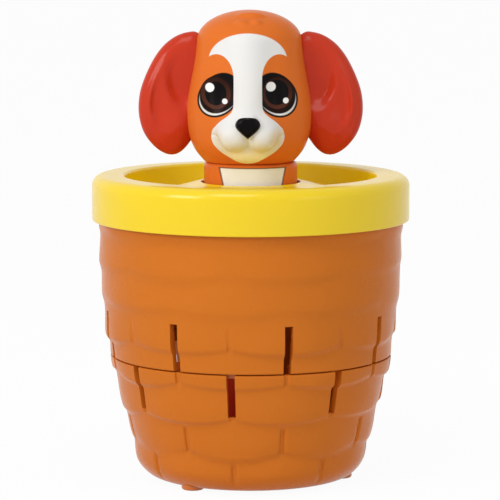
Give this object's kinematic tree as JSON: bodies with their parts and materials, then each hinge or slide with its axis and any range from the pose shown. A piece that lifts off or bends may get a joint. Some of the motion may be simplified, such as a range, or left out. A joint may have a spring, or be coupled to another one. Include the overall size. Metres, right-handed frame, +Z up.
{
  "type": "pop-up dog game",
  "caption": "Pop-up action game: a woven-look plastic basket with stick slots and a rolled rim, holding a sprung launcher that throws a puppy figure up when a hidden trigger is pushed.",
  "frame": {"origin": "on the floor under the middle of the basket, level with the bottoms of the feet", "axes": "+Z up along the basket's axis and the puppy's travel; the puppy faces -Y; +X is to the right in the picture"},
  "size_m": [0.135, 0.135, 0.1998],
  "materials": {
    "basket_orange": "moulded orange plastic, semi-gloss",
    "rim_yellow": "moulded yellow plastic, gloss",
    "launcher_red": "moulded dark red plastic, satin",
    "lever_black": "moulded black acetal, satin",
    "puppy_orange": "moulded orange plastic, painted face, semi-gloss",
    "ear_red": "moulded red plastic, gloss",
    "screw_steel": "zinc-plated steel",
    "spring_steel": "bright spring wire"
  },
  "bodies": {
    "basket": {"lower_basket": "basket_orange", "upper_basket": "basket_orange", "rim_deck": "rim_yellow", "basket_screws": "screw_steel"},
    "launcher": {"launch_tube": "launcher_red", "tube_base": "launcher_red", "base_screws": "screw_steel", "stop_pin": "screw_steel", "trigger_pin": "screw_steel", "trigger_spring": "spring_steel", "launch_spring": "spring_steel"},
    "trigger": {"trigger_lever": "lever_black"},
    "plunger": {"plunger_stem": "launcher_red", "plunger_platform": "launcher_red", "platform_screw": "screw_steel"},
    "dog": {"dog_body": "puppy_orange", "dog_base": "puppy_orange", "dog_head_front": "puppy_orange", "dog_head_back": "puppy_orange", "ear_left": "ear_red", "ear_right": "ear_red", "neck_screw": "screw_steel"}
  },
  "joints": [
    {"name": "launcher_spin", "type": "hinge", "parent": "basket", "child": "launcher", "pos_m": [0, 0, 0.0039], "axis": [0, 0, 1], "continuous": true},
    {"name": "plunger_slide", "type": "slide", "parent": "launcher", "child": "plunger", "axis": [0, 0, 1], "range_m": [0, 0.022], "deforming": ["launch_spring"]},
    {"name": "trigger_swing", "type": "hinge", "parent": "launcher", "child": "trigger", "pos_m": [0.00264, 0.01881, 0.036], "axis": [0.9903, -0.1392, 0], "range_deg": [0, 14], "deforming": ["trigger_spring"]},
    {"name": "dog_lift", "type": "slide", "parent": "plunger", "child": "dog", "axis": [0, 0, 1], "range_m": [0, 0.1]}
  ],
  "couplings": [
    {"joint": "trigger_swing", "follows": "plunger_slide", "rad_per_m": 11.1}
  ]
}
